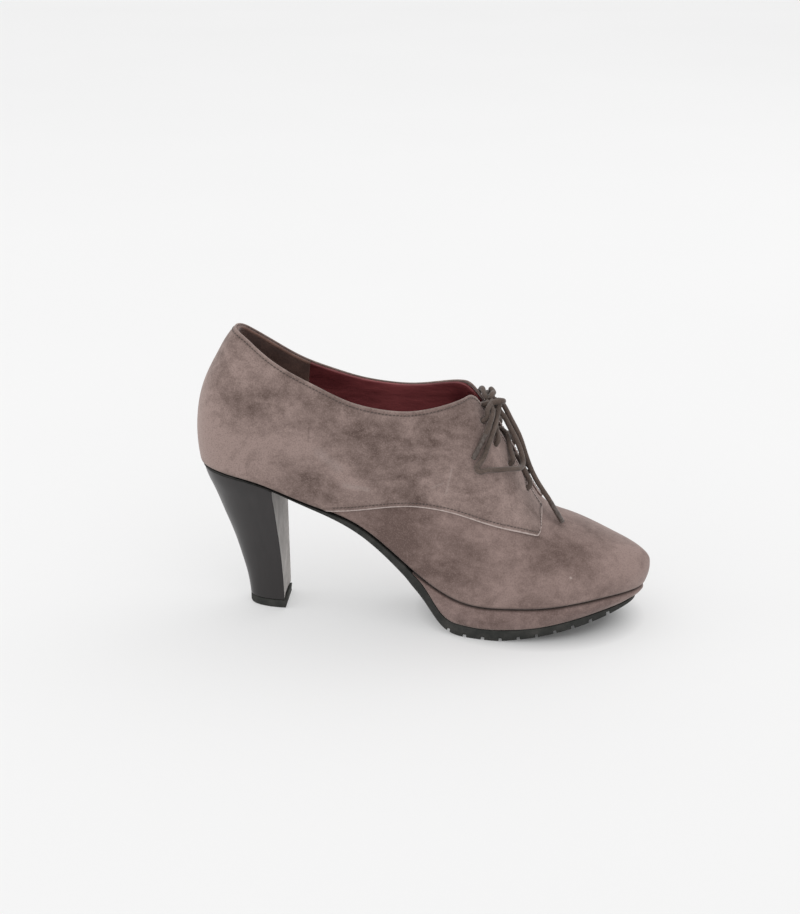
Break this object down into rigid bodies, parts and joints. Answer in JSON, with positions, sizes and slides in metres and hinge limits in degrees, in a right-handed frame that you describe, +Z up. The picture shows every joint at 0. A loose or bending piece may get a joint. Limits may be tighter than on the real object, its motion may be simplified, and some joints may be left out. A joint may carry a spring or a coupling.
{
  "type": "lace up heel",
  "caption": "Women's low-cut lace-up shoe on a lugged platform sole with a tall slim heel, open at the collar and laced over a tongue.",
  "frame": {"origin": "centre of the heel's ground face, on the floor", "axes": "+X from the heel to the toe, +Y to the inner (medial) side of the foot, +Z up"},
  "size_m": [0.2413, 0.0779, 0.1552],
  "materials": {
    "suede": "brushed taupe suede with a soft two-tone nap",
    "lining": "burgundy lining leather, lightly creased, low gloss",
    "rubber": "matte dark grey-green rubber, scuffed",
    "lacquer": "glossy black heel cover over a stacked core",
    "lace": "round waxed cotton lace, dark olive brown, fine braid",
    "aglet": "smoky plastic film over the lace's end"
  },
  "bodies": {
    "root": {"upper": "suede", "tongue": "suede", "insole": "lining", "platform": "suede", "outsole": "rubber", "heel": "lacquer", "top_piece": "rubber", "lace_crossings": "lace", "lace_knot": "lace", "lace_loop_outer": "lace", "lace_loop_inner": "lace", "lace_end_short": "lace", "lace_end_long": "lace", "aglet_short": "aglet", "aglet_long": "aglet"}
  },
  "joints": []
}
